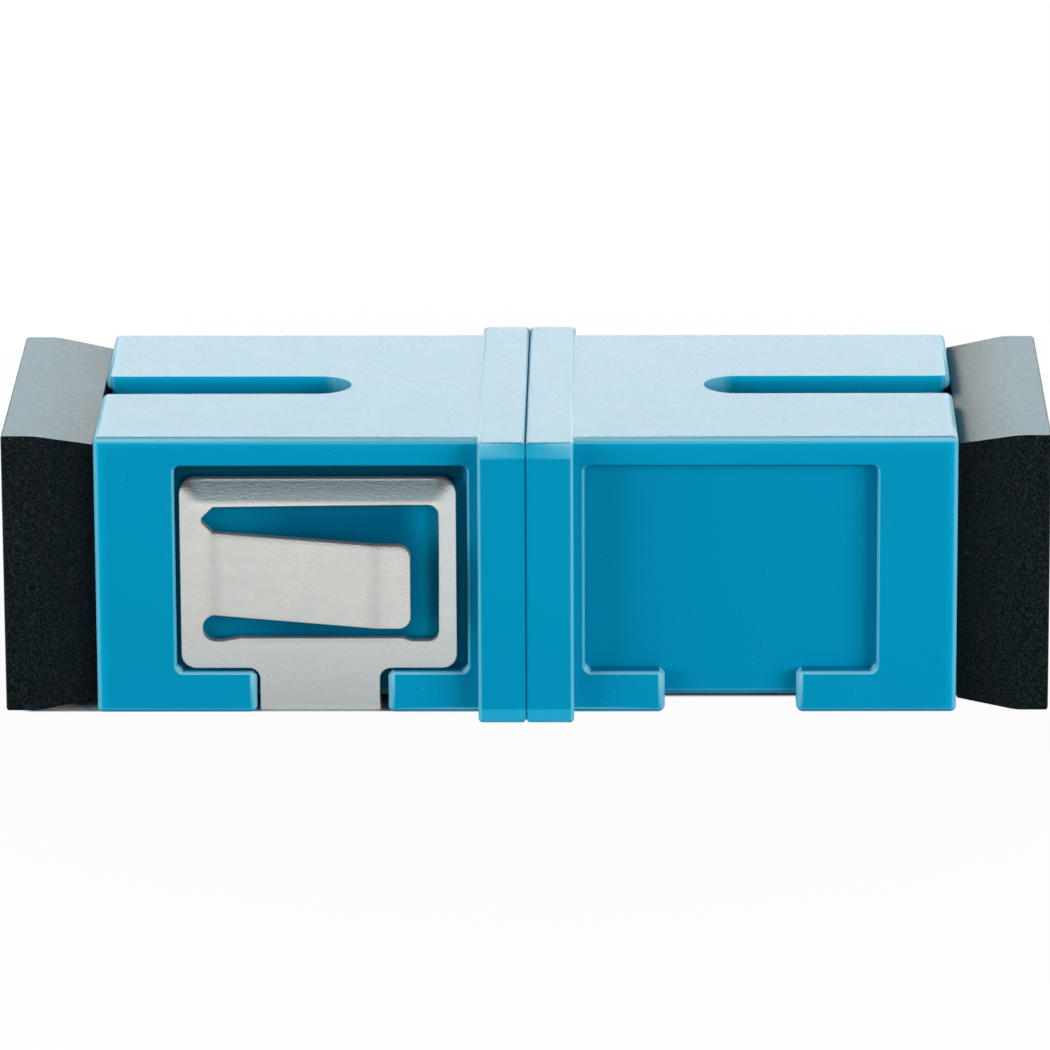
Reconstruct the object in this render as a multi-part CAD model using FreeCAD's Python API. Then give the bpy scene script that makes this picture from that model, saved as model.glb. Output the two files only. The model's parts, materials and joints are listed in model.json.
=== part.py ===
import FreeCAD, Part

import math
import os

from FreeCAD import Vector

# Simplex fibre adapter with a split housing, millimetres.
# X is the optical axis, Y the width and Z is up. The origin is on the optical axis, in the weld plane
# between the two housing halves. Both halves, both latch frames and both caps are the same moulding,
# so each is drawn once for the +X side and turned half round Z for the -X side.

# Housing half
half_length = 13.95             # weld plane to port face
body_width = 12.8
body_height = 9.3
body_edge_radius = 0.2          # long edges
face_edge_radius = 0.18         # outer edge of the port face
port_width = 9.0
port_height = 7.5
port_corner_radius = 0.3
port_lead_in = 0.3              # chamfer round the mouth of the port

# Key slot, open at the port face and cut through the top wall
key_slot_width = 2.15
key_slot_length = 8.15          # port face to the round inner end
key_slot_mouth_radius = 0.35

# Flange half, on the weld plane
flange_thickness = 1.55
flange_reach = 0.95             # past each side of the body
flange_rise = 0.05              # past its top and its bottom
flange_edge_radius = 0.14
flange_bevel_height = 0.5       # sloped band under the flange's top edges
flange_bevel_depth = 0.16

# Recess for one leg of the retaining clip, on both sides of each half
recess_start = 1.9              # weld plane to the recess
recess_length = 9.45
recess_depth = 0.6
recess_top = 0.97               # top of the body to the recess
sill_height = 1.4               # bottom of the body to the ledge that the clip sits on
recess_corner_radius = 0.2
rim_break = 0.09                # broken edge round the recess's rim
strap_gate_width = 4.27         # gap between the two ledges, where the clip's strap goes under the body
gate_corner_radius = 0.22       # bottom corners of the ledges
ledge_corner_cut = 0.17         # cut off the top corners of the ledges
channel_depth = 0.4             # groove across the bottom for the strap
channel_corner_radius = 0.3     # where the groove turns up into the recess

# Latch frame: plate, half of the sleeve holder and two latch arms
plate_thickness = 1.2
plate_lug = 0.8                 # the plate's reach into each side wall, which traps it
frame_clearance = 0.05          # round the plate, in the housing
holder_radius = 2.35
holder_end_lip = 0.5            # stops the sleeve in the holder
holder_lead_in = 0.3
arm_length = 9.0                # weld plane to the tip
arm_thickness = 0.8
arm_inner_offset = 3.3          # optical axis to the arm's inner face
arm_root_height = 4.0
arm_tip_height = 3.4
arm_root_radius = 0.5
hook_depth = 0.7
hook_length = 1.8
hook_land = 0.5
arm_tip_set = 0.1               # the tip, outward of the arm's inner face
arm_flex_room = 0.9             # behind the arm, up to the floor of the relief in the side wall
relief_side_gap = 0.25          # above and below the arm
relief_end_gap = 1.2            # past the arm's tip

# Split alignment sleeve
sleeve_length = 11.4
sleeve_bore_radius = 1.25
sleeve_wall = 0.35
sleeve_slit = 0.5
sleeve_chamfer = 0.12
sleeve_play = 0.05              # radial, in the holder
sleeve_end_play = 0.05
ferrule_entry_clearance = 0.12  # radial, round the ferrule in the holder's lip

# Retaining clip, one folded sheet: a strap under the housing and a framed leg on each side
sheet = 0.3
clip_standoff = 0.15            # sheet to the floor of the recess and of the groove
clip_port_play = 0.14           # leg to the recess's end near the port
clip_flange_play = 0.34         # leg to the recess's end near the flange
clip_ledge_gap = 0.02           # leg to the ledges under it
clip_top_play = 0.45            # leg to the top of the recess
clip_corner_radius = 0.5
strap_port_play = 0.1           # strap to the gate's side near the port
strap_flange_play = 0.27        # strap to the gate's side near the flange
strap_root_radius = 0.35
fold_inner_radius = 0.2
frame_bar_width = 0.6           # bar of the leg's frame near the flange
root_bar_width = 0.72           # bar near the port, which the tongue grows from
frame_bar_height = 0.95         # bars above and below the window
lip_height = 0.8                # upper part of the top bar, leaning in
lip_lean = 9.0                  # degrees
window_corner_radius = 0.35
window_point = 0.37             # corners cut off the upper arm's end
window_step = 0.1               # the lower arm is this much lower between its round end and its far pocket
tongue_height = 2.8
tongue_root = 1.1               # edge of the leg to the tongue's fold
tongue_gap = 0.87               # free end of the tongue to the window's edge
tongue_angle = 15.6             # degrees, out from the leg
tongue_tip_length = 1.1         # turned back nearly parallel with the leg
tongue_tip_angle = 2.0
tongue_corner_radius = 0.4
tongue_fold_radius = 0.6

# Dust cap: head outside the port, hollow plug inside it
cap_rim_inset_side = 0.3        # outer end of the head, inside the body's outline
cap_rim_inset_top = 0.01
cap_waist_inset_side = 0.525    # head at the port face, inside the body's outline
cap_waist_inset_top = 0.35
cap_taper_length = 1.9
cap_rim_length = 1.05
cap_knee_radius = 2.5
cap_edge_radius = 0.1
cap_seat_gap = 0.05             # head to the port face
plug_length = 6.0
plug_clearance = 0.05           # round the plug, in the port
plug_wall = 0.8
plug_corner_radius = 0.4
plug_lead_in = 0.3
plug_depth_in_head = 0.85       # the hollow goes on into the head
plug_notch_gap = 0.3            # round the latch arms

# Worked out from the sizes above
half_width = body_width / 2
half_height = body_height / 2
sill_top = -half_height + sill_height
gate_middle = recess_start + recess_length / 2
recess_floor = half_width - recess_depth
leg_inside = recess_floor + clip_standoff
clip_length = recess_length - clip_port_play - clip_flange_play
clip_bottom = sill_top + clip_ledge_gap
clip_top = half_height - recess_top - clip_top_play
clip_height = clip_top - clip_bottom
clip_middle_height = (clip_top + clip_bottom) / 2
window_height = clip_height - 2 * frame_bar_height
channel_roof = -half_height + channel_depth
sleeve_radius = sleeve_bore_radius + sleeve_wall
sleeve_seat_radius = sleeve_radius + sleeve_play
sleeve_seat_end = sleeve_length / 2 + sleeve_end_play
holder_length = sleeve_seat_end + holder_end_lip
relief_floor = arm_inner_offset + arm_thickness + arm_flex_room

X = Vector(1, 0, 0)
Y = Vector(0, 1, 0)
Z = Vector(0, 0, 1)
beyond = 1.0                    # how far a cutter runs past the face that it opens
close = 1e-4                    # how near an edge lies to the place that it is looked for


def block(x_range, y_range, z_range):
    """A box between two values on each axis."""
    low = Vector(x_range[0], y_range[0], z_range[0])
    high = Vector(x_range[1], y_range[1], z_range[1])
    size = high - low
    return Part.makeBox(size.x, size.y, size.z, low)


def centred(width):
    """The two ends of a width centred on zero."""
    return (-width / 2, width / 2)


def edges_along(shape, direction, inside=None):
    """Straight edges that run along an axis, and lie inside a box where one is given."""
    found = []
    for edge in shape.Edges:
        reach = Vector(edge.BoundBox.XLength, edge.BoundBox.YLength, edge.BoundBox.ZLength)
        sideways = reach - direction * reach.dot(direction)
        if sideways.Length > close:
            continue
        if inside is None or inside.isInside(edge.BoundBox):
            found.append(edge)
    return found


def edges_at(shape, direction, x):
    """Straight edges that run along an axis at one place on the optical axis."""
    return [edge for edge in edges_along(shape, direction) if abs(edge.CenterOfMass.x - x) < close]


def bound(x_range, y_range, z_range):
    """A box to look for edges in."""
    return FreeCAD.BoundBox(x_range[0], y_range[0], z_range[0], x_range[1], y_range[1], z_range[1])


def around(value):
    """A narrow range round one value."""
    return (value - close, value + close)


def rounded_bar(x_range, width, height, radius):
    """A bar along X with a rounded rectangular section."""
    bar = block(x_range, centred(width), centred(height))
    return bar.makeFillet(radius, edges_along(bar, X))


def rounded_window(x_range, y_range, z_range, radius):
    """A cutter along Y with a rounded rectangular outline in the XZ plane."""
    cutter = block(x_range, y_range, z_range)
    return cutter.makeFillet(radius, edges_along(cutter, Y))


def prism(points, direction):
    """A closed outline of points, pushed along a direction."""
    return Part.Face(Part.makePolygon(points + points[:1])).extrude(direction)


def both_sides(shape):
    """A shape on +Y and its mirror image on -Y, as one."""
    return shape.fuse(shape.mirror(Vector(0, 0, 0), Y))


def turned(shape):
    """The same moulding on the other side of the weld plane."""
    return shape.rotated(Vector(0, 0, 0), Z, 180)


# Housing


def flange_half():
    """The flange with its rounded edges and the sloped band under its top corners."""
    reach = half_width + flange_reach
    rise = half_height + flange_rise
    flange = block((0, flange_thickness), (-reach, reach), (-rise, rise))
    band = prism(
        [
            Vector(-beyond, reach, rise - flange_bevel_height),
            Vector(-beyond, reach + beyond, rise - flange_bevel_height),
            Vector(-beyond, reach + beyond, rise + beyond),
            Vector(-beyond, reach - flange_bevel_depth, rise + beyond),
            Vector(-beyond, reach - flange_bevel_depth, rise),
        ],
        X * (flange_thickness + 2 * beyond),
    )
    flange = flange.cut(both_sides(band))
    return flange.makeFillet(flange_edge_radius, flange.Edges)


def port_space():
    """What the port, its mouth, the plate's pocket and the reliefs behind the arms leave open."""
    space = rounded_bar((plate_thickness, half_length + beyond), port_width, port_height, port_corner_radius)
    pocket = block((-beyond, plate_thickness), centred(port_width + 2 * plate_lug), centred(port_height))
    mouth = mouth_chamfer()
    relief = block(
        (plate_thickness, arm_length + relief_end_gap),
        (0, relief_floor),
        centred(arm_root_height + 2 * relief_side_gap),
    )
    return space.fuse([pocket, mouth, both_sides(relief)])


def mouth_chamfer():
    """A flared mouth, from the port's section to one wider by the lead-in."""
    inner = port_outline(half_length - port_lead_in, 0)
    outer = port_outline(half_length + beyond, port_lead_in + beyond)
    return Part.makeLoft([inner, outer], True, True)


def port_outline(x, growth):
    """The port's rectangle at one place on the axis, grown on every side."""
    y = port_width / 2 + growth
    z = port_height / 2 + growth
    corners = [Vector(x, -y, -z), Vector(x, y, -z), Vector(x, y, z), Vector(x, -y, z)]
    return Part.makePolygon(corners + corners[:1])


def key_slot():
    """The slot for the plug's key, with a round inner end and a rounded mouth."""
    start = half_length - key_slot_length
    radius = key_slot_width / 2
    height = half_height + beyond
    end = Part.makeCylinder(radius, height, Vector(start + radius, 0, 0))
    run = block((start + radius, half_length + beyond), centred(key_slot_width), (0, height))
    mouth = block(
        (half_length - key_slot_mouth_radius, half_length + beyond),
        centred(key_slot_width + 2 * key_slot_mouth_radius),
        (0, height),
    )
    for side in (-1, 1):
        corner = Vector(half_length - key_slot_mouth_radius, side * (radius + key_slot_mouth_radius), 0)
        mouth = mouth.cut(Part.makeCylinder(key_slot_mouth_radius, height, corner))
    return run.fuse([end, mouth])


def clip_recess():
    """The recess on the +Y side, with the gate between its two ledges and their cut top corners."""
    outside = half_width + beyond
    leg = rounded_window(
        (recess_start, recess_start + recess_length),
        (recess_floor, outside),
        (sill_top, half_height - recess_top),
        recess_corner_radius,
    )
    gate = block(gate_range(), (recess_floor, outside), (-half_height - beyond, 0))
    recess = leg.fuse(gate).removeSplitter()
    corners = [edge for x in gate_range() for edge in edges_at(recess, Y, x)]
    corners = [edge for edge in corners if edge.CenterOfMass.z > sill_top - close]
    return recess.makeChamfer(ledge_corner_cut, corners)


def gate_range():
    """The two sides of the strap's gate and groove, the one near the flange first."""
    return (gate_middle - strap_gate_width / 2, gate_middle + strap_gate_width / 2)


def strap_groove():
    """The groove across the bottom, which turns up into both recesses by a rounded corner."""
    across = (-half_width - beyond, half_width + beyond)
    groove = block(gate_range(), across, (-half_height - beyond, channel_roof))
    corner = block(
        gate_range(),
        (recess_floor - channel_corner_radius, recess_floor + beyond),
        (channel_roof - beyond, channel_roof + channel_corner_radius),
    )
    axis = Vector(gate_range()[0], recess_floor - channel_corner_radius, channel_roof + channel_corner_radius)
    keep = Part.makeCylinder(channel_corner_radius, strap_gate_width, axis, X)
    return groove.fuse(both_sides(corner.cut(keep)))


def round_gates(half):
    """Rounds the bottom corners of the ledges, all along the groove."""
    bottom = -half_height + close
    corners = [edge for x in gate_range() for edge in edges_at(half, Y, x) if edge.CenterOfMass.z < bottom]
    return half.makeFillet(gate_corner_radius, corners)


def break_rims(half):
    """Breaks the edge round both recesses."""
    rim = []
    across = (recess_start - close, recess_start + recess_length + close)
    upward = (-half_height + gate_corner_radius, half_height - recess_top + close)
    for side in (-half_width, half_width):
        face = bound(across, around(side), upward)
        rim += [edge for edge in half.Edges if face.isInside(edge.BoundBox)]
    return half.makeChamfer(rim_break, rim)


def housing_half():
    """One moulded half, on the +X side."""
    body = rounded_bar((flange_edge_radius, half_length), body_width, body_height, body_edge_radius)
    face_edges = [edge for edge in body.Edges if edge.BoundBox.XMin > half_length - close]
    body = body.makeFillet(face_edge_radius, face_edges)
    half = body.fuse(flange_half()).removeSplitter()
    half = half.cut(both_sides(clip_recess())).cut(strap_groove()).removeSplitter()
    half = break_rims(round_gates(half))
    return half.cut(port_space()).cut(key_slot()).removeSplitter()


# Inner pieces


def latch_arm():
    """The arm on +Y: a flat spring with a hook at its tip, lower at the tip than at the root."""
    inner = arm_inner_offset
    outer = inner + arm_thickness
    hook = inner - hook_depth
    catch = arm_length - hook_length
    plan = prism(
        [
            Vector(0, inner, -half_height),
            Vector(catch, inner, -half_height),
            Vector(catch, hook, -half_height),
            Vector(catch + hook_land, hook, -half_height),
            Vector(arm_length, inner + arm_tip_set, -half_height),
            Vector(arm_length, outer, -half_height),
            Vector(0, outer, -half_height),
        ],
        Z * body_height,
    )
    side = prism(
        [
            Vector(0, 0, -arm_root_height / 2),
            Vector(arm_length, 0, -arm_tip_height / 2),
            Vector(arm_length, 0, arm_tip_height / 2),
            Vector(0, 0, arm_root_height / 2),
        ],
        Y * half_width,
    )
    return plan.common(side)


def arm_roots(frame):
    """The inside corners between the plate and the arms' inner faces."""
    roots = []
    for side in (-arm_inner_offset, arm_inner_offset):
        roots += edges_along(frame, Z, bound(around(plate_thickness), around(side), centred(arm_root_height)))
    return roots


def latch_frame():
    """Plate, sleeve holder and arms as one moulding, on the +X side."""
    plate = block(
        (0, plate_thickness),
        centred(port_width + 2 * (plate_lug - frame_clearance)),
        centred(port_height - 2 * frame_clearance),
    )
    holder = Part.makeCylinder(holder_radius, holder_length, Vector(0, 0, 0), X)
    frame = plate.fuse([holder, both_sides(latch_arm())]).removeSplitter()
    frame = frame.makeFillet(arm_root_radius, arm_roots(frame))
    seat = Part.makeCylinder(sleeve_seat_radius, sleeve_seat_end + beyond, Vector(-beyond, 0, 0), X)
    entry_radius = sleeve_bore_radius + ferrule_entry_clearance
    entry = Part.makeCylinder(entry_radius, holder_length + beyond, Vector(0, 0, 0), X)
    flare_start = Vector(holder_length - holder_lead_in, 0, 0)
    flare = Part.makeCone(entry_radius, entry_radius + holder_lead_in, holder_lead_in, flare_start, X)
    return frame.cut(seat).cut(entry).cut(flare)


def alignment_sleeve():
    """A ceramic tube, slit along its top, with chamfered ends."""
    half = sleeve_length / 2
    step = sleeve_chamfer
    outline = [
        Vector(-half, sleeve_bore_radius + step, 0),
        Vector(-half, sleeve_radius - step, 0),
        Vector(-half + step, sleeve_radius, 0),
        Vector(half - step, sleeve_radius, 0),
        Vector(half, sleeve_radius - step, 0),
        Vector(half, sleeve_bore_radius + step, 0),
        Vector(half - step, sleeve_bore_radius, 0),
        Vector(-half + step, sleeve_bore_radius, 0),
    ]
    section = Part.Face(Part.makePolygon(outline + outline[:1]))
    tube = section.revolve(Vector(0, 0, 0), X, 360)
    slit = block((-half - beyond, half + beyond), centred(sleeve_slit), (0, sleeve_radius + beyond))
    return tube.cut(slit)


# Retaining clip, drawn on the -X half


def clip_range():
    """The two ends of the clip's legs along X, port end first."""
    port_end = -(recess_start + recess_length) + clip_port_play
    return (port_end, port_end + clip_length)


def folded_sheet():
    """The sheet's U section, with the leaning lips at its top, pushed along X."""
    strap_inside = channel_roof - clip_standoff
    outside = u_bar(leg_inside + sheet, strap_inside - sheet, fold_inner_radius + sheet)
    inside = u_bar(leg_inside, strap_inside, fold_inner_radius)
    return outside.cut(inside)


def u_bar(leg, strap, fold_radius):
    """A bar as wide as the clip, with sides that lean in above the lips' fold and round bottom corners."""
    left, right = clip_range()
    fold = clip_top - lip_height
    lean = math.tan(math.radians(lip_lean)) * lip_height
    bar = prism(
        [
            Vector(left, -leg, strap),
            Vector(left, leg, strap),
            Vector(left, leg, fold),
            Vector(left, leg - lean, clip_top),
            Vector(left, -leg + lean, clip_top),
            Vector(left, -leg, fold),
        ],
        X * (right - left),
    )
    corners = [edge for edge in edges_along(bar, X) if abs(edge.CenterOfMass.z - strap) < close]
    return bar.makeFillet(fold_radius, corners)


def clip_outline():
    """The flat outline of both legs, pushed across the whole clip: frame, strap and window."""
    across = (-half_width - beyond, half_width + beyond)
    frame = rounded_window(clip_range(), across, (clip_bottom, clip_top), clip_corner_radius)
    near, far = gate_range()
    strap_range = (-far + strap_port_play, -near - strap_flange_play)
    outline = frame.fuse(block(strap_range, across, (-half_height - beyond, 0)))
    roots = [edge for x in strap_range for edge in edges_at(outline, Y, x)]
    roots = [edge for edge in roots if edge.CenterOfMass.z > clip_bottom - close]
    return outline.makeFillet(strap_root_radius, roots).cut(window(across))


def tongue_end():
    """Where the tongue's free end lies along X."""
    return clip_range()[1] - frame_bar_width - tongue_gap


def window(across):
    """The opening that the tongue is bent out of, with a pointed arm above its root and a round one below."""
    left, right = clip_range()
    near = left + root_bar_width
    far = right - frame_bar_width
    bottom = clip_middle_height - window_height / 2
    top = clip_middle_height + window_height / 2
    arm_height = (window_height - tongue_height) / 2
    upper = block((near, far), across, (top - arm_height, top))
    upper = upper.makeChamfer(min(window_point, arm_height / 2 - close), edges_at(upper, Y, near))
    radius = arm_height / 2
    axis = Vector(near + radius, across[0], bottom + radius)
    round_end = Part.makeCylinder(radius, across[1] - across[0], axis, Y)
    lower = block((near + radius, far), across, (bottom + window_step, bottom + arm_height))
    pocket = block((tongue_end(), far), across, (bottom, bottom + arm_height))
    middle = block((left + tongue_root, far), across, (bottom + window_step, top))
    opening = middle.fuse([upper, round_end, lower, pocket]).removeSplitter()
    return opening.makeFillet(window_corner_radius, edges_at(opening, Y, far))


def tongue():
    """The spring tongue of the +Y leg: bent out at its root and turned back near its tip."""
    left = clip_range()[0]
    low = clip_middle_height - tongue_height / 2
    root = left + tongue_root
    end = tongue_end()
    turn = end - tongue_tip_length
    rise = (turn - root) * math.tan(math.radians(tongue_angle))
    tip_rise = rise + (end - turn) * math.tan(math.radians(tongue_tip_angle))
    line = [(left + root_bar_width / 2, 0), (root, 0), (turn, rise), (end, tip_rise)]
    inner = [Vector(x, leg_inside + y, low) for x, y in line]
    outer = [Vector(x, leg_inside + sheet + y, low) for x, y in reversed(line)]
    blade = prism(inner + outer, Z * tongue_height)
    blade = blade.makeFillet(tongue_fold_radius, edges_at(blade, Z, root) + edges_at(blade, Z, turn))
    return blade.makeFillet(tongue_corner_radius, edges_at(blade, Y, end))


def retaining_clip():
    """The whole clip: a folded sheet cut to its outline, with a tongue bent out of each leg."""
    flat = folded_sheet().common(clip_outline())
    return flat.fuse(both_sides(tongue())).removeSplitter()


# Dust cap


def cap_prism(waist, rim, place, direction):
    """The head's outline from one side, tapered from the port face to a round knee and then straight."""
    start = half_length + cap_seat_gap
    knee = start + cap_taper_length
    turn = math.atan((rim - waist) / cap_taper_length)
    reach = cap_knee_radius * math.tan(turn / 2)
    sink = cap_knee_radius / math.cos(turn / 2) - cap_knee_radius
    side = [
        (start, waist),
        (knee - reach * math.cos(turn), rim - reach * math.sin(turn)),
        (knee + sink * math.sin(turn / 2), rim - sink * math.cos(turn / 2)),
        (knee + reach, rim),
        (knee + cap_rim_length, rim),
    ]
    upper = [place(x, half) for x, half in side]
    lower = [place(x, -half) for x, half in side]
    edges = [
        Part.makeLine(upper[0], upper[1]),
        Part.Arc(upper[1], upper[2], upper[3]).toShape(),
        Part.makeLine(upper[3], upper[4]),
        Part.makeLine(upper[4], lower[4]),
        Part.makeLine(lower[4], lower[3]),
        Part.Arc(lower[3], lower[2], lower[1]).toShape(),
        Part.makeLine(lower[1], lower[0]),
        Part.makeLine(lower[0], upper[0]),
    ]
    return Part.Face(Part.Wire(edges)).extrude(direction)


def cap_head():
    """The head, where its outlines from the side and from above meet."""
    waist_top = half_height - cap_waist_inset_top
    waist_side = half_width - cap_waist_inset_side
    rim_top = half_height - cap_rim_inset_top
    rim_side = half_width - cap_rim_inset_side
    from_side = cap_prism(waist_top, rim_top, lambda x, z: Vector(x, -body_width, z), Y * 2 * body_width)
    from_above = cap_prism(waist_side, rim_side, lambda x, y: Vector(x, y, -body_height), Z * 2 * body_height)
    head = from_side.common(from_above).removeSplitter()
    end = half_length + cap_seat_gap + cap_taper_length + cap_rim_length
    end_edges = [edge for edge in head.Edges if edge.BoundBox.XMin > end - close]
    return head.makeFillet(cap_edge_radius, end_edges)


def cap_plug():
    """The hollow plug, with notches in its sides round the latch arms."""
    start = half_length - plug_length
    width = port_width - 2 * plug_clearance
    height = port_height - 2 * plug_clearance
    head = half_length + cap_seat_gap
    plug = rounded_bar((start, head + cap_rim_length), width, height, plug_corner_radius)
    end_edges = [edge for edge in plug.Edges if edge.BoundBox.XMax < start + close]
    plug = plug.makeChamfer(plug_lead_in, end_edges)
    notch = block(
        (start - beyond, arm_length + plug_notch_gap),
        (-half_width, half_width),
        centred(arm_root_height + 2 * plug_notch_gap),
    )
    return plug.cut(notch)


def dust_cap():
    """A soft cap, on the +X side."""
    start = half_length - plug_length
    end = half_length + cap_seat_gap + plug_depth_in_head
    width = port_width - 2 * (plug_clearance + plug_wall)
    height = port_height - 2 * (plug_clearance + plug_wall)
    hollow = block((start - beyond, end), centred(width), centred(height))
    return cap_head().fuse(cap_plug()).removeSplitter().cut(hollow)


def write(name, shape):
    """Writes one piece and prints its volume."""
    solids = len(shape.Solids)
    print(f"{name}: {solids} solid, {shape.Volume:.2f} mm3, valid {shape.isValid()}")
    shape.exportStep(f"parts/{name}.step")


os.makedirs("parts", exist_ok=True)
housing = housing_half()
frame_piece = latch_frame()
cap = dust_cap()
write("housing_right", housing)
write("housing_left", turned(housing))
write("latch_frame_right", frame_piece)
write("latch_frame_left", turned(frame_piece))
write("alignment_sleeve", alignment_sleeve())
write("retaining_clip", retaining_clip())
write("dust_cap_right", cap)
write("dust_cap_left", turned(cap))
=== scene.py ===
import json
import math
from types import SimpleNamespace

import bmesh
import bpy
import numpy as np
from mathutils import Matrix, Vector

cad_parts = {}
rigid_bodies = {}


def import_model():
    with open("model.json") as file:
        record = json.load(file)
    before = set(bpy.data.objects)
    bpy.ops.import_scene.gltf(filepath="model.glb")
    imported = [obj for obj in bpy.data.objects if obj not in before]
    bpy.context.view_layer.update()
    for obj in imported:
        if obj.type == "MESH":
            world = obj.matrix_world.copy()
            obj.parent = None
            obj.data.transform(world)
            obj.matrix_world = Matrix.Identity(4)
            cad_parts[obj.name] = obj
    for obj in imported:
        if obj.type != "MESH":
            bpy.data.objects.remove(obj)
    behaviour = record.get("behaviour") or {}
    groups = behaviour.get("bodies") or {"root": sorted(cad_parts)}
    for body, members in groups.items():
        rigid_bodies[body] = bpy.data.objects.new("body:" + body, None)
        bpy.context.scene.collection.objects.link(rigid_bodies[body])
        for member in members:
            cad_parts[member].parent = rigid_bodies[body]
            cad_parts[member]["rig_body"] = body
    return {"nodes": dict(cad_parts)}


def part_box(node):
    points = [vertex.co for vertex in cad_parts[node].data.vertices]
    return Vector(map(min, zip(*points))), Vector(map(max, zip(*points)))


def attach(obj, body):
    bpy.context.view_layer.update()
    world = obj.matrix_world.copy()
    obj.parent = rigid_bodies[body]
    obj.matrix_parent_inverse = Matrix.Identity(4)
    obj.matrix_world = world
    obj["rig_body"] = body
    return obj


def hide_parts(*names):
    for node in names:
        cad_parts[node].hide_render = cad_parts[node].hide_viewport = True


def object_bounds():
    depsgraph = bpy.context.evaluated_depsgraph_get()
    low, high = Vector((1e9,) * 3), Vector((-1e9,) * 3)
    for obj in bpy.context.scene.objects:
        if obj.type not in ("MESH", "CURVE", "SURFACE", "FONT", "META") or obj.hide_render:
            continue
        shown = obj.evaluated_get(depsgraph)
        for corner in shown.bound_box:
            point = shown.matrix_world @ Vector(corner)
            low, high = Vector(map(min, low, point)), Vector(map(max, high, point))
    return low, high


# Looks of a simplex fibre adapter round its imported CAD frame.
# Metres, X along the optical axis, Z up. In the dictionaries, places and sizes are in millimetres,
# noise scales in bumps per metre and bump depths in metres, unless a note says otherwise.

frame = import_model()
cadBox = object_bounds()
mm = 0.001
print("frame loaded")


def metres(values):
    return [value * mm for value in values]


def newMaterial(name):
    # an empty material with one shader wired to its output
    material = bpy.data.materials.new(name)
    material.use_nodes = True
    nodes = material.node_tree.nodes
    nodes.clear()
    output = nodes.new("ShaderNodeOutputMaterial")
    shader = nodes.new("ShaderNodeBsdfPrincipled")
    material.node_tree.links.new(shader.outputs["BSDF"], output.inputs["Surface"])
    return material, shader


def addNode(material, kind, **settings):
    # here and below, the world can stand in the material's place, as it has a node tree too
    node = material.node_tree.nodes.new(kind)
    for name, value in settings.items():
        if name in node.inputs:
            node.inputs[name].default_value = value
        else:
            setattr(node, name, value)
    return node


def link(material, source, target):
    material.node_tree.links.new(source, target)


def feed(material, value, socket):
    # a socket takes another node's value, or a plain number or colour
    if isinstance(value, bpy.types.NodeSocket):
        link(material, value, socket)
    else:
        socket.default_value = value


def maths(material, operation, first, second=0):
    node = addNode(material, "ShaderNodeMath", operation=operation)
    feed(material, first, node.inputs[0])
    feed(material, second, node.inputs[1])
    return node.outputs[0]


def times(material, first, second):
    return maths(material, "MULTIPLY", first, second)


def objectNoise(material, scale, stretch=(1, 1, 1), detail=3, roughness=0.55):
    # noise on the piece's own coordinates
    coordinate = addNode(material, "ShaderNodeTexCoord")
    mapping = addNode(material, "ShaderNodeMapping", Scale=stretch)
    noise = addNode(material, "ShaderNodeTexNoise", Scale=scale, Detail=detail, Roughness=roughness)
    link(material, coordinate.outputs["Object"], mapping.inputs["Vector"])
    link(material, mapping.outputs["Vector"], noise.inputs["Vector"])
    return noise.outputs["Fac"]


def spread(material, value, low, high, fromLow=0.3, fromHigh=0.7, curve="LINEAR"):
    # a value's range spread over a new one; the old range is where most of a noise's values lie
    node = addNode(material, "ShaderNodeMapRange", interpolation_type=curve)
    node.inputs["From Min"].default_value = fromLow
    node.inputs["From Max"].default_value = fromHigh
    node.inputs["To Min"].default_value = low
    node.inputs["To Max"].default_value = high
    link(material, value, node.inputs["Value"])
    return node.outputs["Result"]


def above(material, value, low, fade):
    # 1 from a value upwards, fading below it
    return spread(material, value, 0, 1, low - fade, low, "SMOOTHSTEP")


def below(material, value, high, fade):
    # 1 up to a value, fading above it
    return spread(material, value, 0, 1, high + fade, high, "SMOOTHSTEP")


def insideRange(material, value, low, high, fade):
    return times(material, above(material, value, low, fade), below(material, value, high, fade))


def blend(material, factor, first, second):
    # a colour between two colours, which are the Mix node's sockets 6 and 7
    node = addNode(material, "ShaderNodeMix", data_type="RGBA")
    for socket, value in ((node.inputs[6], first), (node.inputs[7], second)):
        linked = isinstance(value, bpy.types.NodeSocket)
        feed(material, value if linked else (*value, 1), socket)
    link(material, factor, node.inputs[0])
    return node.outputs[2]


def between(material, factor, first, second):
    # a number between two numbers, which are the Mix node's sockets 2 and 3
    node = addNode(material, "ShaderNodeMix", data_type="FLOAT")
    feed(material, first, node.inputs[2])
    feed(material, second, node.inputs[3])
    link(material, factor, node.inputs[0])
    return node.outputs[0]


def grain(material, height, depth, strength=1.0, under=None):
    # the normal of a bump of a real depth, on top of another bump where one is given
    bump = addNode(material, "ShaderNodeBump", Strength=strength, Distance=depth)
    link(material, height, bump.inputs["Height"])
    if under is not None:
        link(material, under, bump.inputs["Normal"])
    return bump.outputs["Normal"]


def finishSurface(material, shader, colour, roughness, normal):
    link(material, colour, shader.inputs["Base Color"])
    link(material, roughness, shader.inputs["Roughness"])
    link(material, normal, shader.inputs["Normal"])


def objectPlace(material):
    # x, then y and z as distances from the optical axis, then the height itself
    coordinate = addNode(material, "ShaderNodeTexCoord")
    parts = addNode(material, "ShaderNodeSeparateXYZ")
    link(material, coordinate.outputs["Object"], parts.inputs["Vector"])
    across, up = (maths(material, "ABSOLUTE", parts.outputs[axis]) for axis in ("Y", "Z"))
    return parts.outputs["X"], across, up, parts.outputs["Z"]


def storedShare(material, name):
    # a share that was worked out for each face corner or point of the piece
    return addNode(material, "ShaderNodeAttribute", attribute_name=name).outputs["Fac"]


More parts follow.
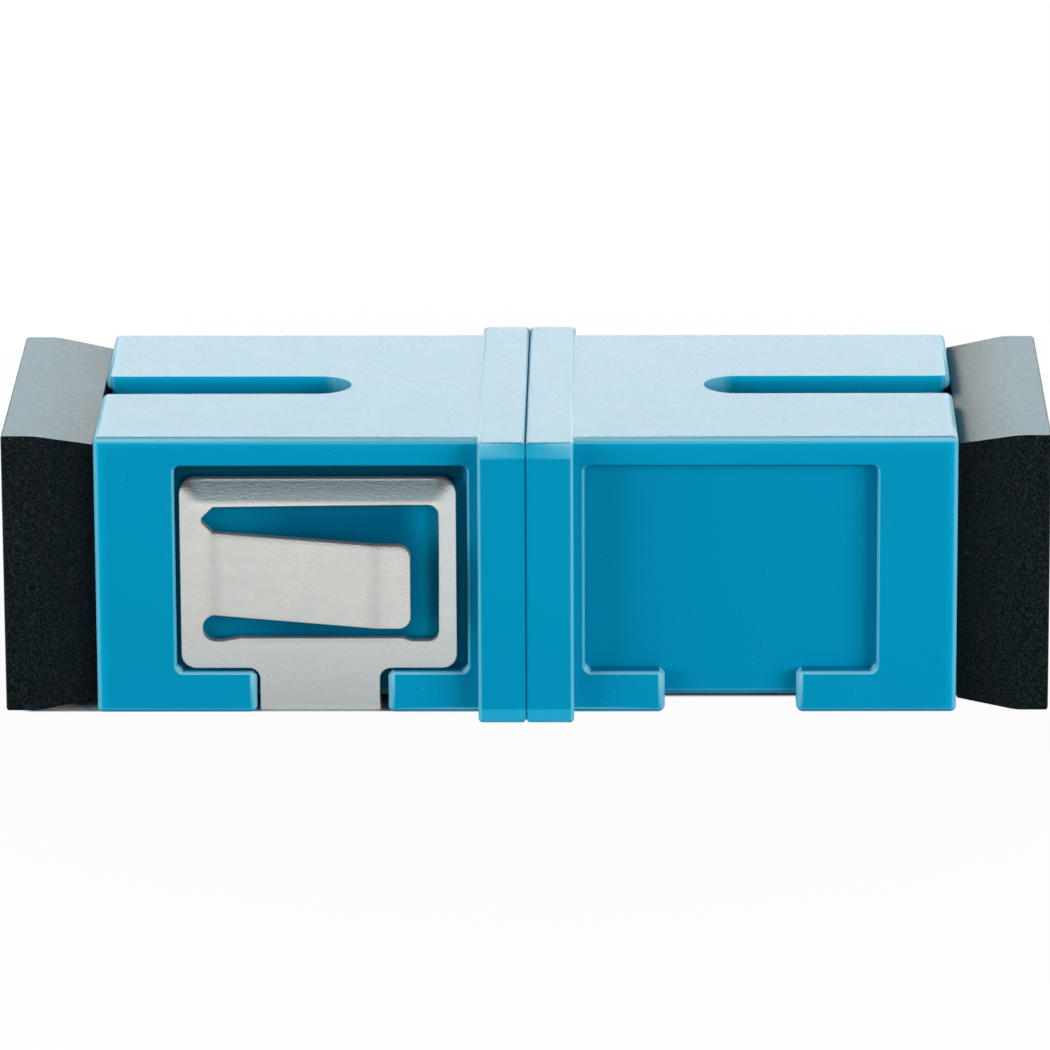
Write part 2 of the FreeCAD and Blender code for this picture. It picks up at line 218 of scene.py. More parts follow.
housingLook = {
    # colours of the moulded plastic, and painted light and shade on it
    "colour": (0.0004, 0.268, 0.468),
    "lightPatch": (0.0010, 0.278, 0.482),
    "speck": (0.05, 0.37, 0.57),
    # painted shade on the floor of each recess
    "recessShade": (0.0004, 0.252, 0.446),
    "rimHighlight": (0.13, 0.52, 0.71),        # painted highlight in the thin upright rims
    "topRimHighlight": (0.24, 0.62, 0.78),     # and painted highlight in those along the top
    "paintedGlow": (0.0008, 0.44, 0.72),     # and a little painted light in the plastic next to them
    "bevelSheen": (0.018, 0.375, 0.585),   # painted sheen on the band under the flange's top edges, which tilts up
    "clipShade": (0.0002, 0.100, 0.195),    # recess behind the clip, where little light gets in
    "slitShade": (0.0002, 0.030, 0.065),    # and in the slit above it
    "specularTint": (0.03, 0.70, 0.90),     # straight on; at a glance the sheen stays white
    # places of the colours
    "glowReach": 0.5,           # from the top and from the port faces
    "glowTop": 4.65,
    "glowFacing": (0.6, 0.95),  # upward parts of a normal between which the top's glow goes out
    "recessWidth": (5.5, 6.1),  # half widths between which the recess's floor lies
    "recessHeight": 4.2,
    "recessFade": 0.1,
    "clipReach": (-11.3, -4.3), # shaded floor along the optical axis
    "clipFade": 1.4,
    "clipShares": (0.30, 0.97), # of the shade, at the port end and from the turning point on
    "clipTurn": 0.52,           # place of that point in the reach
    "slitFrom": 3.15,           # height of the clip's top edge
    "slitTo": -2.1,             # along the optical axis
    "slitFade": (0.2, 0.25),    # along and up
    "bevelFrom": (7.1, 4.27),   # half width and height
    "bevelFade": (0.1, 0.08),
    # surface
    "roughness": (0.29, 0.35),
    "patchScale": 300,          # slow unevenness of the colour
    "speckScale": 5200,         # dust-fine light specks
    "speckFrom": (0.72, 0.82),  # noise values between which a speck shows
    "roughScale": 6500,
    "grainScale": 9000,
    "grainDepth": 0.000003,
    "wavesScale": 500,          # slight sink marks
    "wavesDepth": 0.00003,
    "wavesStrength": 0.35,
}


def housingPlastic(look):
    material, shader = newMaterial("housingPlastic")
    patches = spread(material, objectNoise(material, look["patchScale"], detail=4), 0, 1)
    colour = blend(material, patches, look["colour"], look["lightPatch"])
    along, across, up, height = objectPlace(material)
    # painted light: lighter towards the top and towards the two port faces
    reach, port, top = look["glowReach"] * mm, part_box("housing_right")[1].x, look["glowTop"] * mm
    facing = addNode(material, "ShaderNodeSeparateXYZ")
    link(material, addNode(material, "ShaderNodeNewGeometry").outputs["Normal"], facing.inputs["Vector"])
    sideways = spread(material, facing.outputs["Z"], 1, 0, *look["glowFacing"])
    nearTop = times(material, spread(material, height, 0, 1, top - reach, top), sideways)
    nearPort = spread(material, maths(material, "ABSOLUTE", along), 0, 1, port - reach, port)
    for near in (nearTop, nearPort):
        colour = blend(material, times(material, near, near), colour, look["paintedGlow"])
    # painted shade on the floor of each recess, and on the part of it behind the clip, darker towards the
    # clip's free end
    inner, outer = metres(look["recessWidth"])
    fade = look["recessFade"] * mm
    inRecess = times(
        material,
        insideRange(material, across, inner, outer, fade),
        below(material, up, look["recessHeight"] * mm, fade),
    )
    colour = blend(material, inRecess, colour, look["recessShade"])
    start, end = metres(look["clipReach"])
    behind = times(material, inRecess, insideRange(material, along, start, end, look["clipFade"] * mm))
    deeper = spread(material, along, *look["clipShares"], start, start + look["clipTurn"] * (end - start))
    colour = blend(material, times(material, behind, deeper), colour, look["clipShade"])
    alongFade, upFade = metres(look["slitFade"])
    overClip = insideRange(material, along, start, look["slitTo"] * mm, alongFade)
    aboveClip = above(material, height, look["slitFrom"] * mm, upFade)
    slit = times(material, times(material, inRecess, overClip), aboveClip)
    colour = blend(material, slit, colour, look["slitShade"])
    # painted sheen on the band under the flange's top edges
    (side, bevelHeight), (sideFade, heightFade) = metres(look["bevelFrom"]), metres(look["bevelFade"])
    band = times(
        material, above(material, across, side, sideFade), above(material, up, bevelHeight, heightFade)
    )
    colour = blend(material, band, colour, look["bevelSheen"])
    # painted highlights on the rounded rims, upright and along the top
    colour = blend(material, storedShare(material, "rim"), colour, look["rimHighlight"])
    colour = blend(material, storedShare(material, "topRim"), colour, look["topRimHighlight"])
    specks = spread(material, objectNoise(material, look["speckScale"], detail=2), 0, 1, *look["speckFrom"])
    colour = blend(material, specks, colour, look["speck"])
    roughness = spread(material, objectNoise(material, look["roughScale"]), *look["roughness"])
    shader.inputs["Specular Tint"].default_value = (*look["specularTint"], 1)
    wavesNoise = objectNoise(material, look["wavesScale"], detail=1)
    waves = grain(material, wavesNoise, look["wavesDepth"], look["wavesStrength"])
    fine = grain(material, objectNoise(material, look["grainScale"]), look["grainDepth"], under=waves)
    finishSurface(material, shader, colour, roughness, fine)
    return material


latchLook = {
    "colour": (0.62, 0.60, 0.53),
    "shade": (0.54, 0.52, 0.45),
    "cloudScale": 500,
    "roughness": (0.38, 0.50),
    "roughScale": 3000,
    "grainScale": 6000,
    "grainDepth": 0.000008,
}


def latchPlastic(look):
    material, shader = newMaterial("latchPlastic")
    clouds = spread(material, objectNoise(material, look["cloudScale"], detail=4), 0, 1)
    colour = blend(material, clouds, look["colour"], look["shade"])
    roughness = spread(material, objectNoise(material, look["roughScale"]), *look["roughness"])
    normal = grain(material, objectNoise(material, look["grainScale"]), look["grainDepth"])
    finishSurface(material, shader, colour, roughness, normal)
    return material


sleeveLook = {
    "colour": (0.80, 0.79, 0.75),
    "shade": (0.72, 0.71, 0.66),
    "cloudScale": 900,
    "roughness": (0.16, 0.26),
    "ringScale": 5000,          # fine grinding rings round the axis
    "ringStretch": (1, 0.05, 0.05),
    "ringDepth": 0.000002,
}


def sleeveCeramic(look):
    material, shader = newMaterial("sleeveCeramic")
    clouds = spread(material, objectNoise(material, look["cloudScale"], detail=4), 0, 1)
    colour = blend(material, clouds, look["colour"], look["shade"])
    rings = objectNoise(material, look["ringScale"], stretch=look["ringStretch"])
    roughness = spread(material, rings, *look["roughness"])
    finishSurface(material, shader, colour, roughness, grain(material, rings, look["ringDepth"]))
    return material


clipLook = {
    # rolled spring steel
    "colour": (0.755, 0.76, 0.725),
    "shade": (0.70, 0.712, 0.688),
    "cloudScale": 1500,
    "coolReflection": (0.715, 0.755, 0.755),    # painted bluish reflection, towards the bottom and the flange
    "coolBelow": (-1.9, -2.6),              # heights where it starts and where it is full
    "coolPast": (-3.6, -2.8),               # the same along the optical axis
    "bendColour": (0.645, 0.65, 0.625),     # darker along the tongue's bends
    "lipColour": (0.50, 0.62, 0.66),        # painted cooler, darker reflection in the pressed lip
    "barColour": (0.87, 0.845, 0.80),       # painted warm highlight right under the lip's fold
    "cutColour": (0.34, 0.36, 0.37),        # torn part of the punched edges, which scatters the light
    "cutRoughness": 0.50,
    "cutMetal": 0.5,
    "roughness": (0.25, 0.31),
    "rollScale": 900,                       # rolling marks, long across the strip
    "rollStretch": (0.4, 1.0, 4.0),
    "rollDepth": 0.0000007,
    "pitScale": 16000,                      # fine pickled grain
    "pitDepth": 0.000010,
}


def clipSteel(look):
    material, shader = newMaterial("clipSteel")
    clouds = spread(material, objectNoise(material, look["cloudScale"], detail=6, roughness=0.7), 0, 1)
    colour = blend(material, clouds, look["colour"], look["shade"])
    along, _, _, height = objectPlace(material)
    # painted reflection: bluer towards the bottom and towards the flange end
    low = spread(material, height, 0, 1, *metres(look["coolBelow"]))
    far = spread(material, along, 0, 1, *metres(look["coolPast"]))
    colour = blend(material, maths(material, "MAXIMUM", low, far), colour, look["coolReflection"])
    # darker along the tongue's bends, a painted reflection in the lip and a painted highlight along the bar
    # under its fold
    for place in ("bend", "lip", "bar"):
        colour = blend(material, storedShare(material, place), colour, look[place + "Colour"])
    cut = storedShare(material, "cut")
    colour = blend(material, cut, colour, look["cutColour"])
    link(material, spread(material, cut, 1, look["cutMetal"], 0, 1), shader.inputs["Metallic"])
    marks = objectNoise(material, look["rollScale"], stretch=look["rollStretch"], detail=6, roughness=0.7)
    rolledRoughness = spread(material, marks, *look["roughness"])
    roughness = between(material, cut, rolledRoughness, look["cutRoughness"])
    rolled = grain(material, marks, look["rollDepth"])
    pitNoise = objectNoise(material, look["pitScale"], detail=4, roughness=0.6)
    pits = grain(material, pitNoise, look["pitDepth"], under=rolled)
    finishSurface(material, shader, colour, roughness, pits)
    return material


capLook = {
    # soft black rubber
    "colour": (0.0006, 0.0014, 0.0020),
    "lightMottle": (0.0165, 0.0215, 0.0235),
    "speck": (0.035, 0.045, 0.050),
    "mottleScale": 15000,
    "mottleFrom": (0.44, 0.66),         # noise values from the dark to the light mottle
    "wear": (0.6, 1.1),                 # painted shade: the light mottle's share near the port face, and from there outwards
    "portShadeReach": (13.9, 16.5),          # along the optical axis
    "speckScale": 7000,
    "speckFrom": (0.66, 0.80),
    "roughness": (0.36, 0.44),
    "roughScale": 6000,
    "grainScale": 15000,
    "grainDepth": 0.000005,
    "specularTint": (0.07, 0.11, 0.13),
    "sheen": 0.36,                      # dusty bloom, seen at a glance
    "sheenTint": (0.20, 0.75, 0.95),
    "sheenRoughness": 0.4,
}


def capRubber(look):
    material, shader = newMaterial("capRubber")
    mottleNoise = objectNoise(material, look["mottleScale"], detail=4, roughness=0.7)
    mottle = spread(material, mottleNoise, 0, 1, *look["mottleFrom"])
    # painted shade: less light mottle near the port face, so the cap darkens towards the housing
    distance = maths(material, "ABSOLUTE", objectPlace(material)[0])
    wear = spread(material, distance, *look["wear"], *metres(look["portShadeReach"]))
    colour = blend(material, times(material, mottle, wear), look["colour"], look["lightMottle"])
    specks = spread(material, objectNoise(material, look["speckScale"]), 0, 1, *look["speckFrom"])
    colour = blend(material, specks, colour, look["speck"])
    roughness = spread(material, objectNoise(material, look["roughScale"]), *look["roughness"])
    shader.inputs["Specular Tint"].default_value = (*look["specularTint"], 1)
    shader.inputs["Sheen Weight"].default_value = look["sheen"]
    shader.inputs["Sheen Roughness"].default_value = look["sheenRoughness"]
    shader.inputs["Sheen Tint"].default_value = (*look["sheenTint"], 1)
    normal = grain(material, objectNoise(material, look["grainScale"], detail=4), look["grainDepth"])
    finishSurface(material, shader, colour, roughness, normal)
    return material


rimPlan = {
    "flatFrom": 0.9995,         # largest part of a normal, from which a face is flat
    "roundFrom": 0.995,         # the same of a round's normal, where its share starts
    "roundOver": 0.1,           # and how much smaller it is where the share is full
    "outside": (5.75, 4.2),     # half width and height, past either of which a round is on the outside
    "seamGap": 0.5,             # rounds nearer to the weld plane have no share
    "topFrom": 0.3,             # upward part of a normal from which a rim is a top rim
}


def storeRims(mesh, plan):
    # a face corner's share of painted rim highlight: how far its smooth normal is from the nearest axis, on
    # rounds that lie on the piece's outside; upright rims and top rims are stored apart, and flat faces have
    # no share
    count = len(mesh.loops)
    normals, places = np.empty(count * 3, np.float32), np.empty(len(mesh.vertices) * 3, np.float32)
    mesh.corner_normals.foreach_get("vector", normals)
    mesh.vertices.foreach_get("co", places)
    vertex, sides = np.empty(count, np.int32), np.empty(len(mesh.polygons), np.int32)
    mesh.loops.foreach_get("vertex_index", vertex)
    mesh.polygons.foreach_get("loop_total", sides)
    faceNormals = np.empty(len(mesh.polygons) * 3, np.float32)
    mesh.polygons.foreach_get("normal", faceNormals)
    flat = np.repeat(np.abs(faceNormals.reshape(-1, 3)).max(axis=1) > plan["flatFrom"], sides)
    normals = normals.reshape(-1, 3)
    place = np.abs(places.reshape(-1, 3)[vertex]) / mm
    width, height = plan["outside"]
    outside = ((place[:, 1] > width) | (place[:, 2] > height)) & (place[:, 0] > plan["seamGap"])
    share = np.clip((plan["roundFrom"] - np.abs(normals).max(axis=1)) / plan["roundOver"], 0, 1)
    share = share * outside * ~flat
    upward = normals[:, 2]
    for name, kept in (("rim", np.abs(upward) < plan["topFrom"]), ("topRim", upward >= plan["topFrom"])):
        layer = mesh.attributes.new(name, "FLOAT", "CORNER")
        layer.data.foreach_set("value", (share * kept).astype(np.float32))


smoothing = {
    "mergeWithin": 0.00002,
    "flatWithin": 0.4,          # degrees
    "sharpFrom": 34,            # degrees
    "flatWeight": 100,          # highest, so that flat faces alone set the normals at their edges
}


def facesFirst(piece, weight):
    modifier = piece.modifiers.new("flatFacesFirst", "WEIGHTED_NORMAL")
    modifier.mode = "FACE_AREA"
    modifier.weight = weight
    return modifier


def smoothCopy(node, name, material):
    # the node's loose triangles joined, flat areas made one face each, and rounds shaded smooth
    source = frame["nodes"][node]
    mesh = bpy.data.meshes.new(name)
    shape = bmesh.new()
    shape.from_mesh(source.data)
    bmesh.ops.remove_doubles(shape, verts=shape.verts, dist=smoothing["mergeWithin"] * mm)
    bmesh.ops.dissolve_limit(
        shape, angle_limit=math.radians(smoothing["flatWithin"]), verts=shape.verts, edges=shape.edges
    )
    for face in shape.faces:
        face.smooth = True
    shape.to_mesh(mesh)
    shape.free()
    mesh.set_sharp_from_angle(angle=math.radians(smoothing["sharpFrom"]))
    storeRims(mesh, rimPlan)
    piece = bpy.data.objects.new(name, mesh)
    bpy.context.scene.collection.objects.link(piece)
    facesFirst(piece, smoothing["flatWeight"]).keep_sharp = True
    mesh.materials.append(material)
    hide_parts(node)
    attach(piece, source["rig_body"])
    print("dressed", name, len(mesh.polygons), "faces")
    return piece


housingMaterial = housingPlastic(housingLook)
latchMaterial = latchPlastic(latchLook)
capMaterial = capRubber(capLook)
smoothCopy("housing_left", "housingLeft", housingMaterial)
smoothCopy("housing_right", "housingRight", housingMaterial)
smoothCopy("latch_frame_left", "latchFrameLeft", latchMaterial)
smoothCopy("latch_frame_right", "latchFrameRight", latchMaterial)
smoothCopy("alignment_sleeve", "alignmentSleeve", sleeveCeramic(sleeveLook))
smoothCopy("dust_cap_left", "dustCapLeft", capMaterial)
smoothCopy("dust_cap_right", "dustCapRight", capMaterial)


clipShape = {
    "sheet": 0.30,
    "rimRound": 0.035,          # worn edge of the cut sheet
    "legPlane": 6.10,           # optical axis to the middle of a leg's sheet
    "foldRadius": 0.35,         # middle of the sheet at the long folds beside the strap
    "legBottom": -3.17,
    "cornerRadius": 0.50,
    "strapFrom": 2.55,          # from the port end of the leg
    "strapTo": 6.45,
    "strapRootRadius": 0.35,
    # frame of the leg and its window
    "rootBar": 0.72,            # bars of the frame: port end, flange end, above and below
    "farBar": 0.60,
    "sideBar": 0.95,
    "windowCorner": 0.33,
    "armPoint": 0.37,           # corners cut off the upper arm of the window
    "pointRadii": (0.08, 0.06), # outer and inner end of each cut
    "armRise": 0.07,            # the upper arm's upper edge rises towards the flange
    "roundEnd": 0.49,           # radius of the lower arm's round end, in heights of that arm
    "armStep": 0.10,            # the lower arm is this much narrower between its round end and its pocket
    "stepSlope": (0.75, 1.4),   # start and end of that step from the window's port end, in heights of the arm
    "stepRadius": 0.3,
    "pocketSlope": 0.3,
    "pocketRadius": 0.2,
    # tongue
    "tongueHalf": 1.40,
    "tongueGap": 0.87,
    "tongueCorner": 0.40,
    "tongueRoot": 1.10,         # from the port end of the leg
    "tongueTip": 1.10,
    "tongueAngle": 15.6,        # degrees
    "tipAngle": 2.0,            # degrees
    "bendSoftness": 0.10,
    # lip that leans in, along the top of the leg
    "lipHeight": 0.80,
    "lipSoftness": 0.08,
    "lipLean": (6.5, 11.5),     # degrees, at the fold and at the top
    "lipEdge": (0.08, 0.020),   # top edge of the lip: height of the part that turns out, and how far
    "lipEdgeEnds": (0.45, 0.4), # from the leg's ends to where that starts, and the length over which it does
    "mitreNear": (0.90, 0.30),  # from the port end: at the lip's fold and at its top
    "mitreFar": (1.05, 0.55),   # from the flange end
    "mitreFade": (0.55, 0.75),  # lengths over which the lean goes out, outside the near and far mitre
    # edge of the bar under the lower arm, which curls out
    "edgeCurl": (0.24, 0.045),  # height of the curl and how far it comes out
    "curlFrom": (1.9, 0.5),     # from the port end, and the length over which it starts
    "curlTo": (0.45, 0.4),      # from the tongue's free end, and the length over which it stops
    # places of the colours
    "cutDepth": 0.3,            # punched edge, in halves of the sheet's thickness
    "bendWidth": 0.16,
    "turnStrength": 1.3,        # of the bend near the tongue's tip
    "lipEnds": (0.15, 0.3),     # from the port end and from the flange end
    "lipEndFade": 0.5,
    "lipFade": 0.1,
    "barBelow": 0.11,           # lip's fold to the middle of the bar's line
    "barWidth": 0.10,
    # lines that the blank is divided along before it is folded
    "cell": 0.30,
    "fineCell": 0.1,            # in the lip and round its mitres
    "mitreReach": (1.1, 1.2),   # from the port end and from the flange end
    "lipReach": (0.7, 0.16),    # below the top
    "edgeReach": 0.14,
    "edgeCell": 0.035,
    "curlReach": (0.18, 0.1),   # below and above the curling edge
    "curlCell": 0.05,
    "bendLines": 5,
    "foldLines": 8,
    "slack": 0.02,              # points that lie on a limit still count as inside it
    "tongueSlack": 0.01,        # the same where the tongue rises, which is close to the frame at its root
    "mergeWithin": 0.0005,
    "flatWithin": 0.001,        # radians
}


def clipPlaces(shape, low, high):
    # on a leg, x along the optical axis and heights; run is half of the strap's flat part, rise is the height
    # of the long folds' centre line, and shift turns a height into v, the place along the sheet
    port, flange, top, bottom = low[0], high[0], high[2], shape["legBottom"]
    end = flange - shape["farBar"] - shape["tongueGap"]
    run = shape["legPlane"] - shape["foldRadius"]
    rise = low[2] + shape["sheet"] / 2 + shape["foldRadius"]
    return SimpleNamespace(
        port=port, flange=flange, root=port + shape["tongueRoot"], turn=end - shape["tongueTip"], end=end,
        top=top, bottom=bottom, middle=(top + bottom) / 2, fold=top - shape["lipHeight"],
        run=run, rise=rise, shift=run + shape["foldRadius"] * math.pi / 2 - rise,
    )


def roundedLoop(corners, steps=8, closest=1e-4):
    # a closed outline from corners (x, z, radius): each corner becomes an arc that touches both of its sides,
    # swept from the one touching point to the other in even angles round the arc's centre
    corners = np.array(corners, float)
    at, radius = corners[:, :2], corners[:, 2:3]
    back = np.roll(at, 1, axis=0) - at
    ahead = np.roll(at, -1, axis=0) - at
    back /= np.linalg.norm(back, axis=1, keepdims=True)
    ahead /= np.linalg.norm(ahead, axis=1, keepdims=True)
    half = np.arccos(np.clip((back * ahead).sum(axis=1, keepdims=True), -1, 1)) / 2
    middle = back + ahead
    centre = at + middle / np.linalg.norm(middle, axis=1, keepdims=True) * radius / np.sin(half)
    first = at + back * radius / np.tan(half) - centre
    last = at + ahead * radius / np.tan(half) - centre
    sweep = (np.pi - 2 * half)[:, None]
    share = np.linspace(0, 1, steps + 1)[None, :, None]
    parts = np.sin((1 - share) * sweep) * first[:, None] + np.sin(share * sweep) * last[:, None]
    loop = (centre[:, None] + parts / np.sin(sweep)).reshape(-1, 2)
    apart = np.linalg.norm(loop - np.roll(loop, 1, axis=0), axis=1) > closest
    return loop[apart]


def softRamp(value, soft):
    # zero below nought and the value itself above, with a parabola between minus and plus the soft width
    curve = (value + soft) ** 2 / (4 * soft)
    return np.where(value < -soft, 0, np.where(value > soft, value, curve))


def clipBlank(shape, at):
    # outlines of the flat blank: x along the optical axis, v along the sheet from the middle of the strap
    strapFrom, strapTo = at.port + shape["strapFrom"], at.port + shape["strapTo"]
    corner, root = shape["cornerRadius"], shape["strapRootRadius"]
    leg = [
        (strapTo, at.bottom, root), (at.flange, at.bottom, corner), (at.flange, at.top, corner),
        (at.port, at.top, corner), (at.port, at.bottom, corner), (strapFrom, at.bottom, root),
    ]
    upper = [(x, z + at.shift, r) for x, z, r in leg]
    outline = upper + [(x, -v, r) for x, v, r in reversed(upper)]
    near, far = at.port + shape["rootBar"], at.flange - shape["farBar"]
    half = (at.top - at.bottom) / 2 - shape["sideBar"]
    tongue, point = shape["tongueHalf"], shape["armPoint"]
    outer, inner = shape["pointRadii"]
    arm = half - tongue
    step, roundEnd = shape["armStep"] - half, shape["roundEnd"] * arm
    stepStart, stepEnd = (near + share * arm for share in shape["stepSlope"])
    window = [
        # upper arm and the tongue's free end
        (near + point, half, outer), (near, half - point, inner),
        (near, tongue + point, inner), (near + point, tongue, outer),
        (at.end, tongue, shape["tongueCorner"]), (at.end, -tongue, shape["tongueCorner"]),
        # lower arm, its step and its pocket
        (near + arm / 2, -tongue, 0), (near, -tongue, roundEnd), (near, -half, roundEnd),
        (stepStart, -half, shape["stepRadius"]), (stepEnd, step, shape["stepRadius"]),
        (at.end - shape["pocketSlope"], step, shape["pocketRadius"]), (at.end, -half, shape["pocketRadius"]),
        # flange end
        (far, -half, shape["windowCorner"]), (far, half + shape["armRise"], shape["windowCorner"]),
    ]
    window = [(x, z + at.middle + at.shift, r) for x, z, r in window]
    return [roundedLoop(outline), roundedLoop(window), roundedLoop([(x, -v, r) for x, v, r in window])]


def cutLines(shape, at):
    # places across and along the blank, close together where it bends
    cell, fine, soft = shape["cell"], shape["fineCell"], shape["bendSoftness"]
    nearMitre, farMitre = shape["mitreReach"]
    bend = np.linspace(-soft, soft, shape["bendLines"])
    across = [
        np.arange(at.port + cell, at.flange, cell),
        at.root + bend,
        at.turn + bend,
        np.arange(at.port + fine, at.port + nearMitre, fine),
        np.arange(at.flange - farMitre, at.flange, fine),
    ]
    lipStart, lipEnd = shape["lipReach"]
    curling = at.bottom + shape["sideBar"]
    curlBelow, curlAbove = shape["curlReach"]
    along = [
        np.arange(cell, at.top + at.shift, cell),
        at.run + np.linspace(0, shape["foldRadius"] * math.pi / 2, shape["foldLines"]),
        at.fold + at.shift + np.linspace(-shape["lipSoftness"], shape["lipSoftness"], shape["bendLines"]),
        np.arange(at.top - lipStart, at.top - lipEnd, fine) + at.shift,
        np.arange(at.top - shape["edgeReach"], at.top, shape["edgeCell"]) + at.shift,
        np.arange(curling - curlBelow, curling + curlAbove, shape["curlCell"]) + at.shift,
    ]
    along = np.concatenate(along)
    return np.concatenate(across), np.concatenate([along, -along])


def sheetMesh(loops, shape, cutsAcross, cutsAlong):
    # the outlines filled as a sheet with rounded rims, then divided along straight lines so that it can bend
    curve = bpy.data.curves.new("blank", "CURVE")
    curve.dimensions = "2D"
    curve.fill_mode = "BOTH"
    curve.extrude = shape["sheet"] / 2 - shape["rimRound"]
    curve.bevel_depth = shape["rimRound"]
    curve.bevel_resolution = 2
    curve.offset = -shape["rimRound"]
    for loop in loops:
        spline = curve.splines.new("POLY")
        spline.points.add(len(loop) - 1)
        flat = np.column_stack([loop, np.zeros(len(loop)), np.ones(len(loop))])
        spline.points.foreach_set("co", flat.ravel())
        spline.use_cyclic_u = True
    holder = bpy.data.objects.new("blank", curve)
    bpy.context.scene.collection.objects.link(holder)
    bpy.context.view_layer.update()
    mesh = bpy.data.meshes.new_from_object(holder)
    bpy.data.objects.remove(holder)
    bpy.data.curves.remove(curve)
    work = bmesh.new()
    work.from_mesh(mesh)
    bmesh.ops.remove_doubles(work, verts=work.verts, dist=shape["mergeWithin"])
    bmesh.ops.dissolve_limit(work, angle_limit=shape["flatWithin"], verts=work.verts, edges=work.edges)
    for normal, places in ((Vector((1, 0, 0)), cutsAcross), (Vector((0, 1, 0)), cutsAlong)):
        for place in places:
            everything = work.verts[:] + work.edges[:] + work.faces[:]
            bmesh.ops.bisect_plane(
                work, geom=everything, dist=shape["mergeWithin"],
                plane_co=normal * float(place), plane_no=normal,
            )
    bmesh.ops.recalc_face_normals(work, faces=work.faces)
    work.to_mesh(mesh)
    work.free()
    return mesh


def foldBlank(points, shape, at):
    # along the strap, round each long fold by arc length and up each leg; w stays along the sheet's normal.
    # On the legs w also takes in the tongue's rise, which follows x, and the lip's lean, which steepens with
    # height.
    x, v, w = points.T
    side = np.where(v < 0, -1.0, 1.0)
    along = np.abs(v)
    height = along - at.shift
    onLeg = height > at.bottom
    soft, slack = shape["bendSoftness"], shape["tongueSlack"]
    steep, level = (math.tan(math.radians(shape[angle])) for angle in ("tongueAngle", "tipAngle"))
    climb = steep * softRamp(x - at.root, soft) + (level - steep) * softRamp(x - at.turn, soft)
    onTongue = (np.abs(height - at.middle) < shape["tongueHalf"] + slack) & (x < at.end + slack) & onLeg
    w = w + np.where(onTongue, climb, 0)
    # the lip leans in between its mitres, and its top edge turns out again
    share = np.clip((height - at.fold) / shape["lipHeight"], 0, 1)
    nearFold, nearTop = shape["mitreNear"]
    farFold, farTop = shape["mitreFar"]
    nearMitre = at.port + nearFold + (nearTop - nearFold) * share
    farMitre = at.flange - farFold - (farTop - farFold) * share
    nearFade, farFade = shape["mitreFade"]
    inside = np.clip(np.minimum((x - nearMitre) / nearFade + 1, (farMitre - x) / farFade + 1), 0, 1)
    first, last = (math.tan(math.radians(angle)) for angle in shape["lipLean"])
    lean = first * softRamp(height - at.fold, shape["lipSoftness"])
    lean = lean + (last - first) * share ** 2 * shape["lipHeight"] / 2
    edgeHeight, edgeReach = shape["lipEdge"]
    turnOut = edgeReach * np.clip((height - at.top + edgeHeight) / edgeHeight, 0, 1) ** 2
    bare, fade = shape["lipEdgeEnds"]
    ends = np.clip(np.minimum(x - at.port - bare, at.flange - bare - x) / fade, 0, 1)
    w = w - lean * inside * inside * (3 - 2 * inside) + turnOut * ends
    # the bar under the lower arm curls out a little along its edge, between the round end and the pocket
    curlHeight, curlReach = shape["edgeCurl"]
    edge = at.bottom + shape["sideBar"] + shape["armStep"]
    (start, startFade), (stop, stopFade) = shape["curlFrom"], shape["curlTo"]
    ends = np.clip(np.minimum((x - at.port - start) / startFade, (at.end - stop - x) / stopFade), 0, 1)
    curl = curlReach * np.clip((height - edge + curlHeight) / curlHeight, 0, 1) ** 2
    w = w + curl * ends * ((height < edge + shape["slack"]) & onLeg)
    # round the folds
    radius = shape["foldRadius"]
    quarter = np.clip((along - at.run) / radius, 0, math.pi / 2)
    upright = np.maximum(along - at.run - radius * math.pi / 2, 0)
    y = np.minimum(along, at.run) + radius * np.sin(quarter) + w * np.sin(quarter)
    z = at.rise - radius * np.cos(quarter) + upright - w * np.cos(quarter)
    return np.column_stack([x, side * y, z])


def storeClipShares(mesh, points, shape, at):
    # cut: 0 on the rolled faces, 1 on the punched edges; bend: 1 along the tongue's two bends; lip: 1 above
    # the lip's fold, fading towards its two ends, for a painted reflection; bar: 1 along a line right under
    # that fold, for a painted highlight
    x, v, w = points.T
    height = np.abs(v) - at.shift
    cut = np.clip((1 - np.abs(w) / (shape["sheet"] / 2)) / shape["cutDepth"], 0, 1)
    rootBend, turnBend = (np.exp(-((x - place) / shape["bendWidth"]) ** 2) for place in (at.root, at.turn))
    bend = np.clip(rootBend + shape["turnStrength"] * turnBend, 0, 1)
    onTongue = np.abs(height - at.middle) < shape["tongueHalf"] + shape["slack"]
    near, far = shape["lipEnds"]
    ends = np.clip(np.minimum(x - at.port - near, at.flange - far - x) / shape["lipEndFade"], 0, 1)
    lip = np.clip((height - at.fold) / shape["lipFade"], 0, 1)
    bar = np.exp(-((height - at.fold + shape["barBelow"]) / shape["barWidth"]) ** 2)
    for name, share in {"cut": cut, "bend": bend * onTongue, "lip": lip * ends, "bar": bar * ends}.items():
        mesh.attributes.new(name, "FLOAT", "POINT").data.foreach_set("value", share.astype(np.float32))


